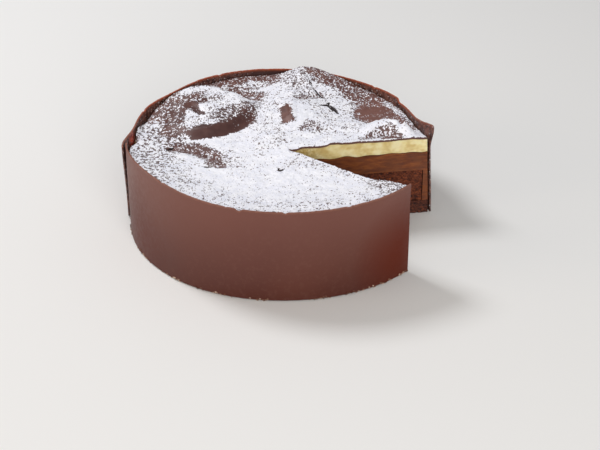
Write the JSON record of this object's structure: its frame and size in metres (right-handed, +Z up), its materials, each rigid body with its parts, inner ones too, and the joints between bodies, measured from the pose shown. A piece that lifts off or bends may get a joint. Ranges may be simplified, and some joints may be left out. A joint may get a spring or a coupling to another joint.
{
  "type": "chocolate cake",
  "caption": "Round layered chocolate cake with a wedge cut out, a folded sugar-dusted chocolate sheet on top and a chocolate collar round its side.",
  "frame": {"origin": "middle of the cake's round foot, on its flat underside", "axes": "+Z up; -Y towards the front of the collar; the wedge is cut out of the +X side"},
  "size_m": [0.1939, 0.1999, 0.0626],
  "materials": {
    "base_sponge": "dense dark sponge cake, matt and moist",
    "sponge": "open chocolate sponge crumb, matt",
    "mousse": "chocolate mousse, smooth and soft",
    "cream": "pale cream filling, satin",
    "sugared_sheet": "dark chocolate sheet dusted with icing sugar",
    "dark_chocolate": "dark chocolate with a soft sheen"
  },
  "bodies": {
    "root": {"base_sponge": "base_sponge", "sponge": "sponge", "mousse": "mousse", "cream": "cream", "top_sheet": "sugared_sheet", "collar_back": "dark_chocolate", "collar_front": "dark_chocolate"}
  },
  "joints": []
}
